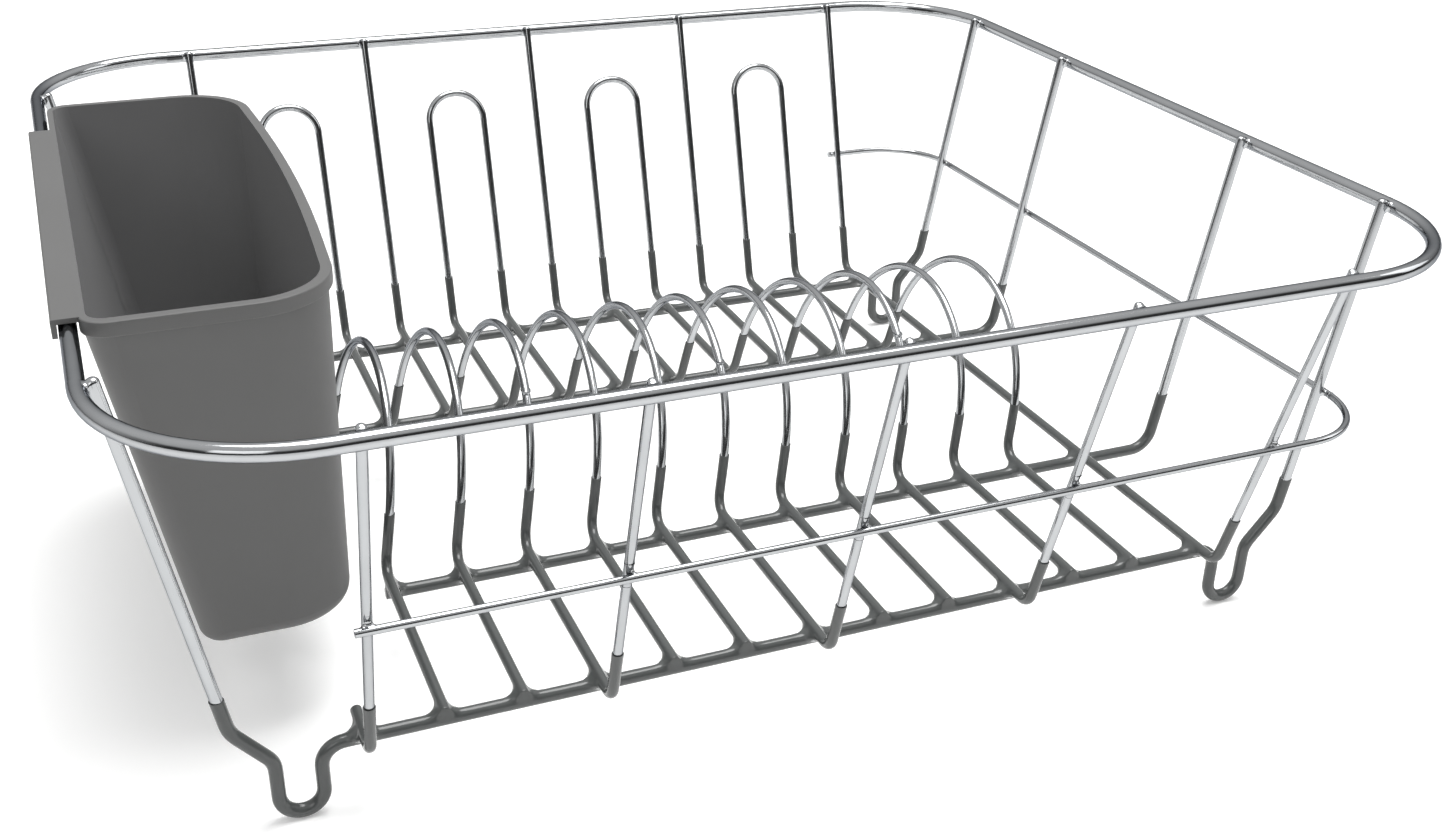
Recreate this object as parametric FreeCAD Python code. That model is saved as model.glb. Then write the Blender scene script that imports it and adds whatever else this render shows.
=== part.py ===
import FreeCAD, Part
import math
import os
from FreeCAD import Vector

# Wire dish drying rack with a hanging cutlery holder. Millimetres, +Z up.
# X runs along the length, Y from front to back. The origin is on the table, midway
# between the four feet. The rim and the two frames are alike left and right and front
# and back. The tall loops stand at the back, the holder hangs on the left, and the
# guard rail runs round the right.

# Wire stock and the vinyl that the lower part is dipped in
rim_wire_d = 5.4
frame_wire_d = 4.0
cross_wire_d = 3.3
guard_wire_d = 2.8
vinyl_thickness = 0.4
vinyl_level = 52.0
weld_bite = 0.1
vinyl_gap = 0.02

# Rim: a closed rounded rectangle, which stands out past the shoulders and the floor
rim_end_flare = 26.6
rim_side_flare = 43.0
rim_height = 163.0
rim_corner_r = 58.0
post_end_drop = 1.0

# Frame wires: bottom rail, a foot at each end, a shoulder and a corner post
rail_inset = 13.4
rail_height = 26.4
rail_end_reach = 10.5
foot_gap = 14.6
foot_bend_r = 7.2
rail_bend_r = 8.0
shoulder_low_height = 24.0
shoulder_high_height = 39.0
shoulder_step = 12.6
shoulder_low_r = 8.0
shoulder_high_r = 12.0

# Floor runners, each bent up on the right as a riser
runner_depth = 134.3
runner_overhang = 0.4
riser_bend_r = 10.0

# Cross wires, counted from the left end. After the left posts they come in groups of
# three: the two of a tall loop, and a plain one. The last gap is wider.
wire_pitch = 27.0
last_gap = 30.4
group_count = 4
group_size = 3
floor_depth = 324.4
upright_bend_r = 6.5
stub_reach = 10.0
loop_end_overhang = 1.6

# Plate arches between the runners, which tilt to the right. Angles in degrees.
arch_foot_inset = 10.15
arch_foot_r = 8.0
arch_leg_lean = 8.0
arch_leg_straight = 11.3
arch_tilt = 10.0

# Tall loops at the back
loop_drop = 25.2
loop_flat = 0.8

# Guard rail outside the uprights and corner posts, which turns just past each post
guard_height = 89.0
guard_turn_gap = 1.0
guard_overhang = 4.2

# Cutlery holder: a tapered cup with a lip, and a hook over the left of the rim
holder_center_y = 4.0
holder_post_room = 25.3
holder_end_taper = 9.5
holder_width = 74.6
holder_side_clearance = 0.5
holder_foot_inset = 22.0
holder_inner_draft = 1.6
holder_drop = 124.6
holder_wall = 2.2
holder_bow = 7.0
holder_bow_end_room = 30.2
holder_corner_r = 26.0
holder_hook_corner_r = 8.0
holder_bottom_corner_r = 24.0
holder_bottom_edge_r = 6.0
holder_floor = 2.6
lip_height = 5.0
lip_proud = 1.4
lip_corner_break = 0.6
hook_front_inset = 5.5
hook_back_inset = 33.5
hook_wall = 1.6
hook_clearance = 0.3
hook_drop = 6.0
drain_hole_d = 6.0
drain_rows = 2
drain_columns = 5
drain_row_pitch = 18.0
drain_column_pitch = 34.0

# How far a hole's cutter runs past the wall, and how far apart two heights may be read
cutter_overrun = 1.0
same_place = 0.01

# Positions that follow from the sizes above
rim_r = rim_wire_d / 2
frame_r = frame_wire_d / 2
cross_r = cross_wire_d / 2
guard_r = guard_wire_d / 2
wire_count = group_count * group_size + 1
wire_x = [wire_pitch * (index - (wire_count - 1) / 2) for index in range(wire_count)]
wire_x[-1] = wire_x[-2] + last_gap
floor_height = rail_height + frame_r + cross_r - weld_bite
post_end_height = rim_height + rim_r - post_end_drop
foot_height = frame_r + vinyl_thickness
foot_inner_x = wire_x[-1] + rail_end_reach
foot_outer_x = foot_inner_x + foot_gap
shoulder_x = foot_outer_x + shoulder_step
rim_x = shoulder_x + rim_end_flare
upright_foot_y = floor_depth / 2
rim_y = upright_foot_y + rim_side_flare
rail_y = upright_foot_y - rail_inset
runner_y = runner_depth / 2
arch_foot_y = runner_y - arch_foot_inset
loop_height = rim_height - loop_drop
holder_top = rim_height + rim_r + hook_clearance + hook_wall
holder_bottom = holder_top - hook_wall - holder_drop
holder_left_x = -(rim_x - rim_r - holder_side_clearance)
holder_top_length = 2 * (rail_y - frame_r - holder_post_room - holder_center_y)
holder_bottom_length = holder_top_length - 2 * holder_end_taper
hook_length = holder_top_length - hook_front_inset - hook_back_inset
holder_bow_start = holder_bottom_length / 2 - holder_bow_end_room
holder_bow_r = holder_bow_start * holder_bottom_length / 2 / holder_bow


def lean_to_touch(run, rise, spacing):
    """Angle from upright of a straight wire that rises and runs out to touch another.

    spacing is the distance between the two wires' centre lines where they touch.
    """
    return math.acos(spacing / math.hypot(run, rise)) - math.atan2(rise, run)


upright_lean = lean_to_touch(
    rim_y - upright_foot_y, rim_height - floor_height, rim_r + cross_r - weld_bite)
post_lean = lean_to_touch(
    rim_x - shoulder_x, rim_height - shoulder_high_height, rim_r + frame_r - weld_bite)


def upright_y(height):
    """Distance of an upright's centre line from the middle plane at a height."""
    return upright_foot_y + (height - floor_height) * math.tan(upright_lean)


def post_x(height):
    """Distance of a corner post's or riser's centre line from the middle at a height."""
    return shoulder_x + (height - shoulder_high_height) * math.tan(post_lean)


def rounded_path(corners, closed=False):
    """Straight runs joined by tangent arcs through corners given as (x, y, z, radius)."""
    points = [Vector(*corner[:3]) for corner in corners]
    radii = [corner[3] for corner in corners]
    count = len(points)
    starts = []
    ends = []
    arcs = []
    for index in range(count):
        point = points[index]
        if radii[index] == 0:
            starts.append(point)
            ends.append(point)
            arcs.append(None)
            continue
        back = (points[index - 1] - point).normalize()
        ahead = (points[(index + 1) % count] - point).normalize()
        half_angle = back.getAngle(ahead) / 2
        tangent = radii[index] / math.tan(half_angle)
        bisector = (back + ahead).normalize()
        middle = point + bisector * (radii[index] / math.sin(half_angle) - radii[index])
        starts.append(point + back * tangent)
        ends.append(point + ahead * tangent)
        arcs.append(Part.Arc(starts[-1], middle, ends[-1]).toShape())
    edges = []
    for index in range(count):
        if arcs[index] is not None:
            edges.append(arcs[index])
        if index < count - 1 or closed:
            edges.append(Part.LineSegment(ends[index], starts[(index + 1) % count]).toShape())
    return Part.Wire(edges)


def round_bar(path, radius):
    """A round bar of one radius along a path."""
    start = path.Edges[0].valueAt(path.Edges[0].FirstParameter)
    heading = path.Edges[0].tangentAt(path.Edges[0].FirstParameter)
    section = Part.Wire([Part.Circle(start, heading, radius).toShape()])
    return path.makePipeShell([section], True, False)


def straight_bar(start, heading, length, radius):
    """A straight round bar, used to cut room for a wire that crosses."""
    return Part.makeCylinder(radius, length, start, heading)


def rim_path():
    return rounded_path([
        (-rim_x, -rim_y, rim_height, rim_corner_r),
        (rim_x, -rim_y, rim_height, rim_corner_r),
        (rim_x, rim_y, rim_height, rim_corner_r),
        (-rim_x, rim_y, rim_height, rim_corner_r),
    ], closed=True)


def frame_path(side):
    """Post, shoulder, foot, rail, foot, shoulder and post, all in one upright plane."""
    y = side * rail_y
    right = [
        (foot_inner_x, y, rail_height, rail_bend_r),
        (foot_inner_x, y, foot_height, foot_bend_r),
        (foot_outer_x, y, foot_height, foot_bend_r),
        (foot_outer_x, y, shoulder_low_height, shoulder_low_r),
        (shoulder_x, y, shoulder_high_height, shoulder_high_r),
        (post_x(post_end_height), y, post_end_height, 0),
    ]
    left = [(-x, y, z, radius) for x, y, z, radius in reversed(right)]
    return rounded_path(left + right)


def runner_path(side):
    y = side * runner_y
    return rounded_path([
        (wire_x[1] - cross_r - runner_overhang, y, rail_height, 0),
        (post_x(rail_height), y, rail_height, riser_bend_r),
        (post_x(post_end_height), y, post_end_height, 0),
    ])


def guard_path():
    spacing_y = (cross_r + guard_r - weld_bite) / math.cos(upright_lean)
    spacing_x = (frame_r + guard_r - weld_bite) / math.cos(post_lean)
    y = upright_y(guard_height) + spacing_y
    x = post_x(guard_height) + spacing_x
    guard_corner_r = y - rail_y - guard_turn_gap
    return rounded_path([
        (wire_x[0] - guard_overhang, -y, guard_height, 0),
        (x, -y, guard_height, guard_corner_r),
        (x, y, guard_height, guard_corner_r),
        (wire_x[-1] - guard_overhang, y, guard_height, 0),
    ])


def upright_top(x, side):
    return (x, side * upright_y(post_end_height), post_end_height, 0)


def upright_foot(x, side):
    return (x, side * upright_foot_y, floor_height, upright_bend_r)


def arch_corners(x):
    """The arch's feet on the floor, and its crown as one large rounded corner.

    The legs would meet far above the arch. The crown takes up all of each leg but the
    bend at its foot and the straight stretch.
    """
    lean = math.radians(arch_leg_lean)
    tilt = math.radians(arch_tilt)
    meeting_rise = arch_foot_y / math.tan(lean)
    foot_bend = arch_foot_r / math.tan((math.pi / 2 + lean) / 2)
    crown_r = (arch_foot_y / math.sin(lean) - foot_bend - arch_leg_straight) * math.tan(lean)
    crown_x = x + meeting_rise * math.sin(tilt)
    crown_z = floor_height + meeting_rise * math.cos(tilt)
    return [
        (x, -arch_foot_y, floor_height, arch_foot_r),
        (crown_x, 0, crown_z, crown_r),
        (x, arch_foot_y, floor_height, arch_foot_r),
    ]


def cross_path(x, arched):
    """From the front rim, down, across the floor and up to the rear rim."""
    middle = arch_corners(x) if arched else []
    return rounded_path(
        [upright_top(x, -1), upright_foot(x, -1)] + middle + [upright_foot(x, 1), upright_top(x, 1)])


def post_path(x, side):
    """A left post, hooked over a bottom rail at its foot."""
    return rounded_path([
        upright_top(x, side),
        upright_foot(x, side),
        (x, side * (rail_y - stub_reach), floor_height, 0),
    ])


def plate_loop_path(left_x, right_x):
    """Front rail, arch, rear rail, up and over the tall loop, and back the same way."""
    front_y = -(rail_y + loop_end_overhang)
    loop_bend_r = (right_x - left_x - loop_flat) / 2
    loop_y = upright_y(loop_height)
    there = [(left_x, front_y, floor_height, 0)] + arch_corners(left_x)
    there += [upright_foot(left_x, 1), (left_x, loop_y, loop_height, loop_bend_r)]
    back = [(right_x, loop_y, loop_height, loop_bend_r), upright_foot(right_x, 1)]
    back += list(reversed(arch_corners(right_x)))
    back.append((right_x, front_y, floor_height, 0))
    return rounded_path(there + back)


def rail_room():
    """The vinyl-covered rails and runners, which cross wires' vinyl stops against."""
    radius = frame_r + vinyl_thickness + vinyl_gap
    bars = []
    for y in (-rail_y, -runner_y, runner_y, rail_y):
        start = Vector(-foot_inner_x, y, rail_height)
        bars.append(straight_bar(start, Vector(1, 0, 0), 2 * foot_inner_x, radius))
    return bars


def cross_room(positions):
    """The bare cross wires along the floor, which rails' and runners' vinyl stops against."""
    radius = cross_r + vinyl_gap
    end_y = upright_foot_y - upright_bend_r
    bars = []
    for x in positions:
        start = Vector(x, -end_y, floor_height)
        bars.append(straight_bar(start, Vector(0, 1, 0), 2 * end_y, radius))
    return bars


def vinyl_skin(path, wire_radius, room):
    """The vinyl on one wire, up to the dip level, clear of the wires that cross it."""
    bore = round_bar(path, wire_radius + vinyl_gap)
    skin = round_bar(path, wire_radius + vinyl_thickness)
    bath_x = rim_x + rim_corner_r
    bath_y = rim_y + rim_corner_r
    bath = Part.makeBox(2 * bath_x, 2 * bath_y, vinyl_level, Vector(-bath_x, -bath_y, 0))
    return skin.common(bath).cut([bore] + room)


def holder_outline(z, left_x, right_x, length, left_r, right_r):
    """The cup's outline at one height: straight on the hook side, bowed on the inner side."""
    front_y = holder_center_y - length / 2
    back_y = holder_center_y + length / 2
    return rounded_path([
        (left_x, front_y, z, left_r),
        (right_x, front_y, z, right_r),
        (right_x + holder_bow, holder_center_y, z, holder_bow_r),
        (right_x, back_y, z, right_r),
        (left_x, back_y, z, left_r),
    ], closed=True)


def edges_at(shape, height):
    """The edges that lie level at one height."""
    found = []
    for edge in shape.Edges:
        box = edge.BoundBox
        if abs(box.ZMin - height) < same_place and abs(box.ZMax - height) < same_place:
            found.append(edge)
    return found


def tapered_cup(bottom_z, wall):
    """The cup's solid outer shape, or its hollow when wall is the thickness to leave."""
    left_x = holder_left_x + wall
    right_x = left_x + holder_width - 2 * wall
    top = holder_outline(
        holder_top, left_x, right_x, holder_top_length - 2 * wall,
        holder_hook_corner_r - wall, holder_corner_r - wall)
    bottom = holder_outline(
        bottom_z, left_x + holder_foot_inset, right_x - holder_inner_draft, holder_bottom_length - 2 * wall,
        holder_hook_corner_r - wall, holder_bottom_corner_r - wall)
    cup = Part.makeLoft([bottom, top], True, True)
    return cup.makeFillet(holder_bottom_edge_r - wall, edges_at(cup, bottom_z))


def holder_lip():
    """A band round the cup's mouth, a little proud of the wall, with broken edges."""
    lip_bottom = holder_top - lip_height
    outline = holder_outline(
        lip_bottom, holder_left_x, holder_left_x + holder_width + lip_proud,
        holder_top_length + 2 * lip_proud, holder_hook_corner_r, holder_corner_r + lip_proud)
    band = Part.Face(outline).extrude(Vector(0, 0, lip_height))
    sharp_edges = edges_at(band, holder_top) + edges_at(band, lip_bottom)
    return band.makeFillet(lip_corner_break, sharp_edges)


def holder_hook():
    """A flat flange over the rim that turns down on the outside."""
    outer_x = -(rim_x + rim_r + hook_clearance + hook_wall)
    front_y = holder_center_y - holder_top_length / 2 + hook_front_inset
    flange_reach = holder_left_x + holder_wall - outer_x
    flange_corner = Vector(outer_x, front_y, holder_top - hook_wall)
    flange = Part.makeBox(flange_reach, hook_length, hook_wall, flange_corner)
    turn_corner = Vector(outer_x, front_y, holder_top - hook_drop)
    turn_down = Part.makeBox(hook_wall, hook_length, hook_drop, turn_corner)
    hook = flange.fuse(turn_down).removeSplitter()
    outer_edges = []
    for edge in edges_at(hook, holder_top):
        if edge.BoundBox.XMax < outer_x + same_place:
            outer_edges.append(edge)
    return hook.makeFillet(hook_wall / 2, outer_edges)


def drain_holes():
    """Round holes through the cup's floor, in even rows."""
    middle_x = holder_left_x + (holder_foot_inset + holder_width - holder_inner_draft) / 2
    depth = holder_floor + 2 * cutter_overrun
    holes = []
    for row in range(drain_rows):
        x = middle_x + (row - (drain_rows - 1) / 2) * drain_row_pitch
        for column in range(drain_columns):
            y = holder_center_y + (column - (drain_columns - 1) / 2) * drain_column_pitch
            base = Vector(x, y, holder_bottom - cutter_overrun)
            holes.append(Part.makeCylinder(drain_hole_d / 2, depth, base))
    return holes


def cutlery_holder():
    outside = tapered_cup(holder_bottom, 0).fuse([holder_lip(), holder_hook()])
    hollow = tapered_cup(holder_bottom + holder_floor, holder_wall)
    return outside.cut([hollow] + drain_holes()).removeSplitter()


def write(shape, node):
    """Write one node, after checking that it is made of sound closed solids."""
    if not shape.Solids or not shape.isValid():
        raise RuntimeError("unsound shape: " + node)
    shape.exportStep("parts/" + node + ".step")
    print(node, len(shape.Solids), round(shape.Volume, 1))


def write_dipped(path, wire_radius, room, name):
    """Write a wire, and the vinyl that covers its lower part."""
    write(round_bar(path, wire_radius), name + "_wire")
    write(vinyl_skin(path, wire_radius, room), name + "_vinyl")


os.makedirs("parts", exist_ok=True)
write(round_bar(rim_path(), rim_r), "rim_wire")
write(round_bar(guard_path(), guard_r), "guard_rail_wire")
for side, place in ((-1, "front"), (1, "rear")):
    write_dipped(frame_path(side), frame_r, cross_room(wire_x), place + "_frame")
    write_dipped(runner_path(side), frame_r, cross_room(wire_x[1:]), place + "_runner")
    write_dipped(post_path(wire_x[0], side), cross_r, rail_room(), "left_" + place + "_post")
for group in range(group_count):
    first, second, third = wire_x[group * group_size + 1:(group + 1) * group_size + 1]
    number = str(group + 1)
    write_dipped(plate_loop_path(first, second), cross_r, rail_room(), "plate_loop_" + number)
    if group < group_count - 1:
        write_dipped(cross_path(third, True), cross_r, rail_room(), "cross_" + number)
write_dipped(cross_path(wire_x[-1], False), cross_r, rail_room(), "end_cross")
write(cutlery_holder(), "cutlery_holder")
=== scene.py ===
import math

import bpy
from mathutils import Matrix, Vector


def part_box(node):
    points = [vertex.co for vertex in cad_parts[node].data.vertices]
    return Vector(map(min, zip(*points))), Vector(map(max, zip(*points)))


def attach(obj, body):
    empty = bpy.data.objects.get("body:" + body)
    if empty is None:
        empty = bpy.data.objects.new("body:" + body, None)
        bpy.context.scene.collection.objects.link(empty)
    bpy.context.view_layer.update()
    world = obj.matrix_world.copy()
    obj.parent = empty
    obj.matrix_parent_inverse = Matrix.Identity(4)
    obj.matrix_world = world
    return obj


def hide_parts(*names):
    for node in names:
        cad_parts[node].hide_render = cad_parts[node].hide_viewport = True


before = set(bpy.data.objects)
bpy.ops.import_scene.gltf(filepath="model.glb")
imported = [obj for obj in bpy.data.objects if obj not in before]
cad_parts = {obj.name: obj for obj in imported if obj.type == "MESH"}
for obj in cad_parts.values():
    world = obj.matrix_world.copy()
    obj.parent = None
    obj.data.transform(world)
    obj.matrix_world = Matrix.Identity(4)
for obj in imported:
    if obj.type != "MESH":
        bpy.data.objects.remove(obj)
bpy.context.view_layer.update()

mm = 0.001
mergeDistance = 0.002 * mm  # corners of a node's loose triangles that lie this close are one corner

front = Vector((0, -1, 0))
rear = Vector((0, 1, 0))
left = Vector((-1, 0, 0))
right = Vector((1, 0, 0))
up = Vector((0, 0, 1))


# small helpers

def deselectAll():
    if bpy.context.object and bpy.context.object.mode != "OBJECT":
        bpy.ops.object.mode_set(mode="OBJECT")
    bpy.ops.object.select_all(action="DESELECT")


def pickOnly(piece):
    deselectAll()
    piece.select_set(True)
    bpy.context.view_layer.objects.active = piece


def applyPlace(piece):  # the place goes into the mesh, the object back to the origin
    pickOnly(piece)
    bpy.ops.object.transform_apply(location=True, rotation=True, scale=True)


def copyNode(nodeName, newName):  # a merged copy of a CAD node's loose triangles
    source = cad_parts[nodeName]
    piece = source.copy()
    piece.data = source.data.copy()
    piece.name = newName
    piece.data.name = newName
    piece.parent = None
    for key in list(piece.keys()):
        del piece[key]
    bpy.context.scene.collection.objects.link(piece)
    piece.matrix_world = Matrix.Identity(4)
    piece.data.materials.clear()
    pickOnly(piece)
    bpy.ops.object.mode_set(mode="EDIT")
    bpy.ops.mesh.select_all(action="SELECT")
    bpy.ops.mesh.remove_doubles(threshold=mergeDistance)
    bpy.ops.object.mode_set(mode="OBJECT")
    return piece


def addModifier(piece, kind, **values):
    modifier = piece.modifiers.new(kind, kind)
    for name, value in values.items():
        setattr(modifier, name, value)
    return modifier


def applyAll(piece):
    pickOnly(piece)
    for modifier in list(piece.modifiers):
        bpy.ops.object.modifier_apply(modifier=modifier.name)


def joinPieces(pieces, name):
    deselectAll()
    for piece in pieces:
        piece.select_set(True)
    bpy.context.view_layer.objects.active = pieces[0]
    bpy.ops.object.join()
    joined = bpy.context.view_layer.objects.active
    joined.name = name
    joined.data.name = name
    return joined


# materials

def newMaterial(name):
    material = bpy.data.materials.new(name)
    material.use_nodes = True
    tree = material.node_tree
    shader = next(node for node in tree.nodes if node.type == "BSDF_PRINCIPLED")
    return material, tree, shader


def objectNoise(tree, scale, detail=3.0):
    place = tree.nodes.new("ShaderNodeTexCoord")
    noise = tree.nodes.new("ShaderNodeTexNoise")
    noise.inputs["Scale"].default_value = scale
    noise.inputs["Detail"].default_value = detail
    tree.links.new(place.outputs["Object"], noise.inputs["Vector"])
    return noise.outputs["Fac"]


def mapRange(tree, source, ends, low, high):  # "To" spreads 0 to 1 over them, "From" undoes that
    ranged = tree.nodes.new("ShaderNodeMapRange")
    ranged.inputs[ends + " Min"].default_value = low
    ranged.inputs[ends + " Max"].default_value = high
    tree.links.new(source, ranged.inputs["Value"])
    return ranged.outputs["Result"]


def mixTwo(tree, factor, first, second):  # its sockets are taken by number, as their names repeat
    mix = tree.nodes.new("ShaderNodeMix")
    mix.data_type = "RGBA"
    tree.links.new(factor, mix.inputs[0])
    tree.links.new(first, mix.inputs[6])
    tree.links.new(second, mix.inputs[7])
    return mix.outputs[2]


def addBump(tree, shader, height, strength, distance):
    bump = tree.nodes.new("ShaderNodeBump")
    bump.inputs["Strength"].default_value = strength
    bump.inputs["Distance"].default_value = distance
    tree.links.new(height, bump.inputs["Height"])
    tree.links.new(bump.outputs["Normal"], shader.inputs["Normal"])


def mixColours(tree, factor, first, second):
    ramp = tree.nodes.new("ShaderNodeValToRGB")
    ramp.color_ramp.elements[0].color = (*first, 1)
    ramp.color_ramp.elements[1].color = (*second, 1)
    tree.links.new(factor, ramp.inputs["Fac"])
    return ramp.outputs["Color"]


chromeLook = {
    "bright": (0.46, 0.47, 0.48),
    "dull": (0.38, 0.39, 0.40),
    "edge": (0.30, 0.31, 0.33, 1),
    "roughLow": 0.07,
    "roughHigh": 0.16,
    "cloudScale": 55.0,
    "waveScale": 260.0,
    "waveDetail": 2.0,
    "waveStrength": 0.4,
    "waveDepth": 0.02 * mm,
}


def chromeMaterial():
    material, tree, shader = newMaterial("chromePlate")
    shader.inputs["Metallic"].default_value = 1.0
    shader.inputs["Specular Tint"].default_value = chromeLook["edge"]  # darker where it turns away
    cloud = objectNoise(tree, chromeLook["cloudScale"])
    wave = objectNoise(tree, chromeLook["waveScale"], chromeLook["waveDetail"])
    colour = mixColours(tree, cloud, chromeLook["dull"], chromeLook["bright"])
    tree.links.new(colour, shader.inputs["Base Color"])
    rough = mapRange(tree, cloud, "To", chromeLook["roughHigh"], chromeLook["roughLow"])
    tree.links.new(rough, shader.inputs["Roughness"])
    addBump(tree, shader, wave, chromeLook["waveStrength"], chromeLook["waveDepth"])
    return material


vinylLook = {
    "light": (0.078, 0.083, 0.082),
    "dark": (0.060, 0.064, 0.063),
    "roughLow": 0.13,
    "roughHigh": 0.24,
    "cloudScale": 40.0,
    "grainScale": 900.0,
    "grainDetail": 2.0,
    "grainStrength": 0.3,
    "grainDepth": 0.03 * mm,
}


def vinylMaterial():
    material, tree, shader = newMaterial("dippedVinyl")
    cloud = objectNoise(tree, vinylLook["cloudScale"])
    grain = objectNoise(tree, vinylLook["grainScale"], vinylLook["grainDetail"])
    colour = mixColours(tree, cloud, vinylLook["dark"], vinylLook["light"])
    tree.links.new(colour, shader.inputs["Base Color"])
    rough = mapRange(tree, cloud, "To", vinylLook["roughLow"], vinylLook["roughHigh"])
    tree.links.new(rough, shader.inputs["Roughness"])
    addBump(tree, shader, grain, vinylLook["grainStrength"], vinylLook["grainDepth"])
    return material


holderLook = {
    "outerLight": (0.110, 0.110, 0.109),
    "outerDark": (0.096, 0.096, 0.095),
    # painted light: the inside's colours are lighter than the outside's, standing in for light falling into
    # the cup
    "paintedLitInsideLight": (0.212, 0.212, 0.214),
    "paintedLitInsideDark": (0.188, 0.188, 0.190),
    "roughInner": 0.36,  # the inside's colour is painted lighter, standing in for light falling into the cup; the inside is also a little glossier than the outside
    "roughOuter": 0.52,
    "turn": 0.002,  # how sharply the painted lighter, glossier inside gives way to the outer colour and roughness at the mouth
    "cloudScale": 18.0,
    "grainScale": 1400.0,
    "grainDetail": 2.0,
    "grainStrength": 0.35,
    "grainDepth": 0.04 * mm,
}


def holderMaterial():
    material, tree, shader = newMaterial("holderPlastic")
    cloud = objectNoise(tree, holderLook["cloudScale"])
    grain = objectNoise(tree, holderLook["grainScale"], holderLook["grainDetail"])
    low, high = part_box("cutlery_holder")
    place = tree.nodes.new("ShaderNodeTexCoord")
    fromMiddle = tree.nodes.new("ShaderNodeVectorMath")
    fromMiddle.operation = "SUBTRACT"
    fromMiddle.inputs[1].default_value = [(low[axis] + high[axis]) / 2 for axis in range(3)]
    tree.links.new(place.outputs["Object"], fromMiddle.inputs[0])
    facing = tree.nodes.new("ShaderNodeVectorMath")  # above zero where a face looks away from the middle
    facing.operation = "DOT_PRODUCT"
    tree.links.new(fromMiddle.outputs["Vector"], facing.inputs[0])
    tree.links.new(place.outputs["Normal"], facing.inputs[1])
    outer = mapRange(tree, facing.outputs["Value"], "From", -holderLook["turn"], holderLook["turn"])
    outerColour = mixColours(tree, cloud, holderLook["outerDark"], holderLook["outerLight"])
    # painted light: faces that look towards the middle (the cup's inside) get the lighter colour, standing
    # in for light falling into it
    paintedLitInsideColour = mixColours(tree, cloud, holderLook["paintedLitInsideDark"], holderLook["paintedLitInsideLight"])
    tree.links.new(mixTwo(tree, outer, paintedLitInsideColour, outerColour), shader.inputs["Base Color"])
    rough = mapRange(tree, outer, "To", holderLook["roughInner"], holderLook["roughOuter"])
    tree.links.new(rough, shader.inputs["Roughness"])
    addBump(tree, shader, grain, holderLook["grainStrength"], holderLook["grainDepth"])
    return material


def paint(piece, material):
    if not piece.material_slots:
        piece.data.materials.append(material)
    for materialSlot in piece.material_slots:
        materialSlot.material = material


chrome = chromeMaterial()
vinyl = vinylMaterial()
holderPlastic = holderMaterial()

for nodeName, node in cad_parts.items():
    if nodeName.endswith("_vinyl"):
        paint(node, vinyl)
    elif nodeName.endswith("_wire"):
        paint(node, chrome)
    else:
        paint(node, holderPlastic)
print("materials done")


# skins that run over several wires, with webs where the wires cross

skinMaking = {
    "flatAngle": 0.5,  # degrees: neighbouring faces flatter than this are merged before a wire swells
    "endAngle": 60,  # degrees: sharper edges are the rims of cut ends, and get rounded
    "endSegments": 4,
    "smoothFactor": 0.5,
    "firstSmoothing": 2,  # rounds of smoothing straight after the voxel remesh
    "lastSmoothing": 1,
    "sharpAngle": 50,  # degrees: sharper edges keep a hard shade
}

def cutAt(piece, point, normal):  # keeps the side that the normal points away from
    pickOnly(piece)
    bpy.ops.object.mode_set(mode="EDIT")
    bpy.ops.mesh.select_all(action="SELECT")
    bpy.ops.mesh.bisect(plane_co=point, plane_no=normal, use_fill=True, clear_outer=True)
    bpy.ops.object.mode_set(mode="OBJECT")


def smoothByAngle(piece):
    pickOnly(piece)
    bpy.ops.object.shade_smooth_by_angle(angle=math.radians(skinMaking["sharpAngle"]))


def copyPiece(piece, newName):
    twin = piece.copy()
    twin.data = piece.data.copy()
    twin.name = newName
    bpy.context.scene.collection.objects.link(twin)
    return twin


def swell(piece, distance):  # even offset, with the rims of the flat ends rounded as much
    pickOnly(piece)
    bpy.ops.object.mode_set(mode="EDIT")
    bpy.ops.mesh.select_all(action="SELECT")
    bpy.ops.mesh.dissolve_limited(angle_limit=math.radians(skinMaking["flatAngle"]))
    bpy.ops.mesh.select_all(action="SELECT")
    bpy.ops.transform.shrink_fatten(value=distance, use_even_offset=True)
    bpy.ops.object.mode_set(mode="OBJECT")
    addModifier(piece, "BEVEL", width=distance, segments=skinMaking["endSegments"], limit_method="ANGLE",
                angle_limit=math.radians(skinMaking["endAngle"]))
    applyAll(piece)


def smooth(skin, rounds):
    addModifier(skin, "SMOOTH", factor=skinMaking["smoothFactor"], iterations=rounds)


def keepOutside(skin, bare, shape):  # a skin inside its wires shows only its webs, so it isn't wrapped
    if shape["thickness"] > 0:
        addModifier(skin, "SHRINKWRAP", target=bare, wrap_mode="OUTSIDE", offset=shape["thickness"])


def skinOver(wires, name, shape):
    bareWires = [copyPiece(wire, wire.name + "_bare") for wire in wires]
    for wire in wires:
        swell(wire, shape["thickness"] + shape["web"])
    bare = joinPieces(bareWires, name + "_bare")
    skin = joinPieces(wires, name)
    addModifier(skin, "REMESH", mode="VOXEL", voxel_size=shape["voxel"])
    smooth(skin, skinMaking["firstSmoothing"])
    applyAll(skin)
    addModifier(skin, "DISPLACE", strength=-shape["web"], mid_level=0.0)
    smooth(skin, shape["smoothing"])
    keepOutside(skin, bare, shape)
    applyAll(skin)
    addModifier(skin, "DECIMATE", ratio=shape["keptShare"])
    keepOutside(skin, bare, shape)
    smooth(skin, skinMaking["lastSmoothing"])
    applyAll(skin)
    bpy.data.objects.remove(bare)
    return skin


# vinyl coat: every dipped wire below one level, in one skin

coatShape = {
    "level": 52.0 * mm,
    "thickness": 0.38 * mm,
    "web": 2.6 * mm,  # radius of the fillets between wires that cross
    "voxel": 0.8 * mm,
    "smoothing": 4,
    "spareTop": 9.0 * mm,  # made taller than the level, then cut off sharp
    "keptShare": 0.34,
}


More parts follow.
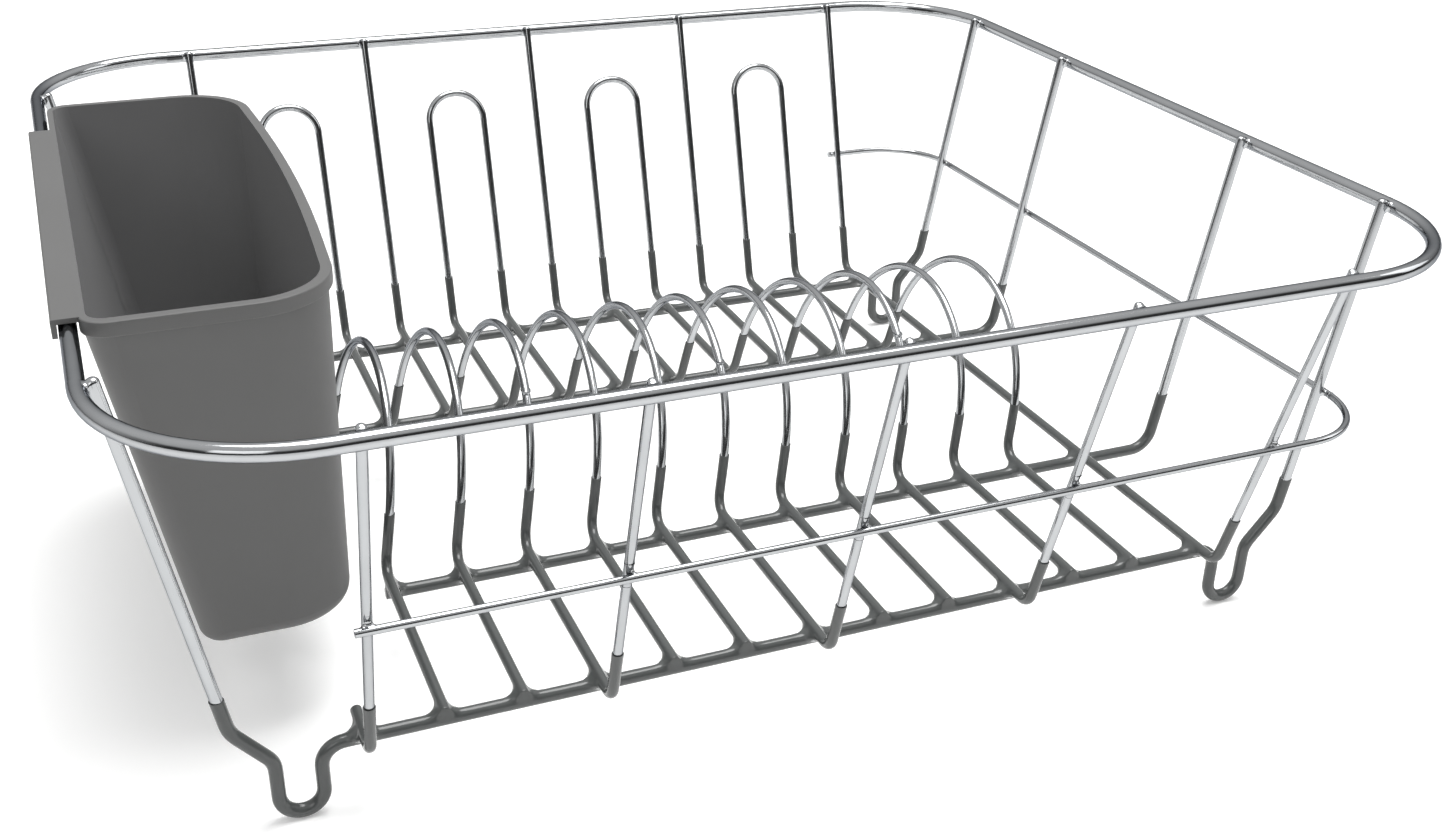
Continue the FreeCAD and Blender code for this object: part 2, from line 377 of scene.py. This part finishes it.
def makeCoat(dippedNames):
    wires = []
    for name in dippedNames:
        wires.append(copyNode(name + "_wire", name + "_dipped"))
        cutAt(wires[-1], (0, 0, coatShape["level"] + coatShape["spareTop"]), up)
    coat = skinOver(wires, "vinyl_coat", coatShape)
    cutAt(coat, (0, 0, coatShape["level"]), up)
    smoothByAngle(coat)
    return coat


dippedNames = [name[:-len("_vinyl")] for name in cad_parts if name.endswith("_vinyl")]
coat = makeCoat(dippedNames)
paint(coat, vinyl)
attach(coat, "rack")
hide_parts(*[name + "_vinyl" for name in dippedNames])
print("vinyl coat done:", len(coat.data.polygons), "faces")


# weld beads: a web of metal where each upright meets the rim or the guard rail

weldShape = {
    "thickness": -0.03 * mm,
    "web": 0.7 * mm,
    "voxel": 0.3 * mm,
    "smoothing": 2,
    "keptShare": 0.22,
    "reachAlong": 4.5 * mm,  # how far a bead runs along the rim or the guard rail
    "reachDown": 5.0 * mm,  # and along the upright
    "thickWireRadius": 2.0 * mm,
    "thinWireRadius": 1.65 * mm,
    "domeSpare": 0.06 * mm,  # the smoothing takes this off the dome again
    "domeFlat": 0.75,  # height of the rounded wire top, as a share of the wire's radius
    "domeSegments": 24,
    "domeRings": 12,
    "topDepth": 1.5 * mm,  # a slanted flat wire top lies within this
}

crossWires = ("cross_1", "cross_2", "cross_3", "end_cross")
frameWires = ("front_frame", "rear_frame")
runnerWires = ("front_runner", "rear_runner")
thickWires = frameWires + runnerWires
rimUprights = [("left_front_post", front), ("left_rear_post", rear)]
rimUprights += [(name, side) for name in crossWires for side in (front, rear)]
rimUprights += [(name, side) for name in frameWires for side in (left, right)]
rimUprights += [(name, right) for name in runnerWires]
guardUprights = [(name, front) for name in ("left_front_post", *crossWires)]
guardUprights += [(name, right) for name in ("front_frame", "front_runner", "rear_runner", "rear_frame")]
guardUprights.append(("end_cross", rear))


def middleOf(places):
    low = Vector([min(place[axis] for place in places) for axis in range(3)])
    high = Vector([max(place[axis] for place in places) for axis in range(3)])
    return (low + high) / 2


def wireTop(nodeName, side):  # middle of a wire's flat top end
    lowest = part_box(nodeName)[1][2] - weldShape["topDepth"]
    places = [vertex.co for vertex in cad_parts[nodeName].data.vertices]
    return middleOf([place for place in places if place.z > lowest and place.dot(side) > 0])


def wireMiddle(nodeName, side, height):  # where a wire's centre line passes a height
    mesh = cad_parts[nodeName].data
    places = []
    for edge in mesh.edges:
        low, high = sorted((mesh.vertices[index].co for index in edge.vertices), key=lambda place: place.z)
        if low.z < height < high.z and low.dot(side) > 0:
            places.append(low.lerp(high, (height - low.z) / (high.z - low.z)))
    return middleOf(places)


def lengthOf(nodeName, centre, along, reach, side):  # a short length of a wire, on one side of the rack
    length = copyNode(nodeName, nodeName + "_length")
    cutAt(length, (0, 0, 0), -side)
    cutAt(length, centre + along * reach, along)
    cutAt(length, centre - along * reach, -along)
    return length


def roundTop(upright, side):  # a low dome on a wire's flat end
    nodeName = upright + "_wire"
    centre = wireTop(nodeName, side)
    below = wireMiddle(nodeName, side, centre.z - 2 * weldShape["reachDown"])
    wireRadius = weldShape["thickWireRadius" if upright in thickWires else "thinWireRadius"]
    bpy.ops.mesh.primitive_uv_sphere_add(
        segments=weldShape["domeSegments"], ring_count=weldShape["domeRings"],
        radius=wireRadius + weldShape["domeSpare"], location=centre)
    dome = bpy.context.object
    dome.scale = (1, 1, weldShape["domeFlat"])
    dome.rotation_euler = (centre - below).to_track_quat("Z", "Y").to_euler()
    applyPlace(dome)
    return dome


def makeWelds(crossName, uprights, name, rounded):
    crossHeight = sum(corner[2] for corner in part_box(crossName)) / 2
    lengths = []
    for upright, side in uprights:
        nodeName = upright + "_wire"
        centre = wireMiddle(nodeName, side, crossHeight)
        along = right if side in (front, rear) else rear
        lengths.append(lengthOf(nodeName, centre, up, weldShape["reachDown"], side))
        lengths.append(lengthOf(crossName, centre, along, weldShape["reachAlong"], side))
        if rounded:
            lengths.append(roundTop(upright, side))
    beads = skinOver(lengths, name, weldShape)
    smoothByAngle(beads)
    paint(beads, chrome)
    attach(beads, "rack")
    return beads


rimWelds = makeWelds("rim_wire", rimUprights, "rim_weld_beads", True)
guardWelds = makeWelds("guard_rail_wire", guardUprights, "guard_rail_weld_beads", False)
print("weld beads done:", len(rimWelds.data.polygons) + len(guardWelds.data.polygons), "faces")


# floor, light and camera

floorLook = {
    "size": 24.0,
    "light": (0.93, 0.93, 0.925),
    "dark": (0.90, 0.90, 0.895),
    "cloudScale": 3.0,
    "rough": 0.6,
    "glow": 0.22,
}


def makeFloor():
    bpy.ops.mesh.primitive_plane_add(size=floorLook["size"], location=(0, 0, 0))
    floor = bpy.context.object
    floor.name = "studio_floor"
    material, tree, shader = newMaterial("paleFloor")
    cloud = objectNoise(tree, floorLook["cloudScale"])
    colour = mixColours(tree, cloud, floorLook["dark"], floorLook["light"])
    tree.links.new(colour, shader.inputs["Base Color"])
    shader.inputs["Roughness"].default_value = floorLook["rough"]
    shader.inputs["Emission Color"].default_value = (1, 1, 1, 1)
    shader.inputs["Emission Strength"].default_value = floorLook["glow"]
    paint(floor, material)


skyLook = {  # strengths by how high a direction looks, from straight down to straight up
    "room": ((0.0, 0.4), (0.48, 0.14), (0.52, 0.04), (0.70, 0.06), (0.80, 0.65), (1.0, 0.85)),
    "backdrop": ((0.0, 0.5), (0.49, 0.45), (0.52, 0.30), (0.62, 0.62), (0.80, 0.80), (1.0, 0.85)),
    "turn": (-0.25, 0.45),  # where the dark room gives way to the backdrop behind the rack
}


def skyRamp(tree, height, stops):
    ramp = tree.nodes.new("ShaderNodeValToRGB")
    elements = ramp.color_ramp.elements
    while len(elements) < len(stops):
        elements.new(0.5)  # moved to its own place below
    for element, (position, strength) in zip(elements, stops):
        element.position = position
        element.color = (strength, strength, strength, 1)
    tree.links.new(height, ramp.inputs["Fac"])
    return ramp.outputs["Color"]


def makeSky():
    world = bpy.data.worlds.new("studioSky")
    bpy.context.scene.world = world
    world.use_nodes = True
    tree = world.node_tree
    background = next(node for node in tree.nodes if node.type == "BACKGROUND")
    place = tree.nodes.new("ShaderNodeTexCoord")
    split = tree.nodes.new("ShaderNodeSeparateXYZ")
    tree.links.new(place.outputs["Generated"], split.inputs["Vector"])
    height = mapRange(tree, split.outputs["Z"], "From", -1.0, 1.0)  # a direction's height runs from -1 to 1
    behind = mapRange(tree, split.outputs["Y"], "From", *skyLook["turn"])
    room = skyRamp(tree, height, skyLook["room"])
    backdrop = skyRamp(tree, height, skyLook["backdrop"])
    tree.links.new(mixTwo(tree, behind, room, backdrop), background.inputs["Color"])


softboxes = {  # places and sizes in metres, power in watts
    "top_softbox": {"place": (0.15, 0.15, 1.6), "faces": (0, 0.05, 0.05), "size": 1.1, "power": 27.0},
    "front_softbox": {"place": (-1.3, -1.6, 1.2), "faces": (0, 0, 0.1), "size": 1.0, "power": 5.0},
    "side_softbox": {"place": (1.8, -0.4, 1.1), "faces": (0, 0, 0.1), "size": 0.9, "power": 5.0},
}


def makeLights():
    for name, softbox in softboxes.items():
        bpy.ops.object.light_add(type="AREA", location=softbox["place"])
        light = bpy.context.object
        light.name = name
        light.data.shape = "SQUARE"
        light.data.size = softbox["size"]
        light.data.energy = softbox["power"]
        aim = Vector(softbox["faces"]) - Vector(softbox["place"])
        light.rotation_euler = aim.to_track_quat("-Z", "Y").to_euler()


cameraPlace = {
    "location": (-0.22294, -0.58809, 0.36245),
    "heading": 22.892,  # degrees from +Y towards +X
    "pitch": 26.905,  # degrees below the horizon
    "roll": 1.291,
    "lens": 40.845,  # and the sensor, in millimetres
    "sensor": 36.0,
    "nearest": 0.01,  # metres, as is the farthest
    "farthest": 100.0,
}


def makeCamera():
    heading = math.radians(cameraPlace["heading"])
    pitch = math.radians(cameraPlace["pitch"])
    roll = math.radians(cameraPlace["roll"])
    reach = math.cos(pitch)
    ahead = Vector((math.sin(heading) * reach, math.cos(heading) * reach, -math.sin(pitch)))
    level = Vector((math.cos(heading), -math.sin(heading), 0))
    upright = level.cross(ahead)
    turnedLevel = level * math.cos(roll) + upright * math.sin(roll)
    turnedUpright = upright * math.cos(roll) - level * math.sin(roll)
    bpy.ops.object.camera_add(location=cameraPlace["location"])
    camera = bpy.context.object
    camera.name = "studio_camera"
    camera.rotation_euler = Matrix((turnedLevel, turnedUpright, -ahead)).transposed().to_euler()
    camera.data.lens = cameraPlace["lens"]
    camera.data.sensor_width = cameraPlace["sensor"]
    camera.data.clip_start = cameraPlace["nearest"]
    camera.data.clip_end = cameraPlace["farthest"]
    bpy.context.scene.camera = camera


makeFloor()
makeSky()
makeLights()
makeCamera()
bpy.context.scene.view_settings.view_transform = "Standard"
print("studio done")
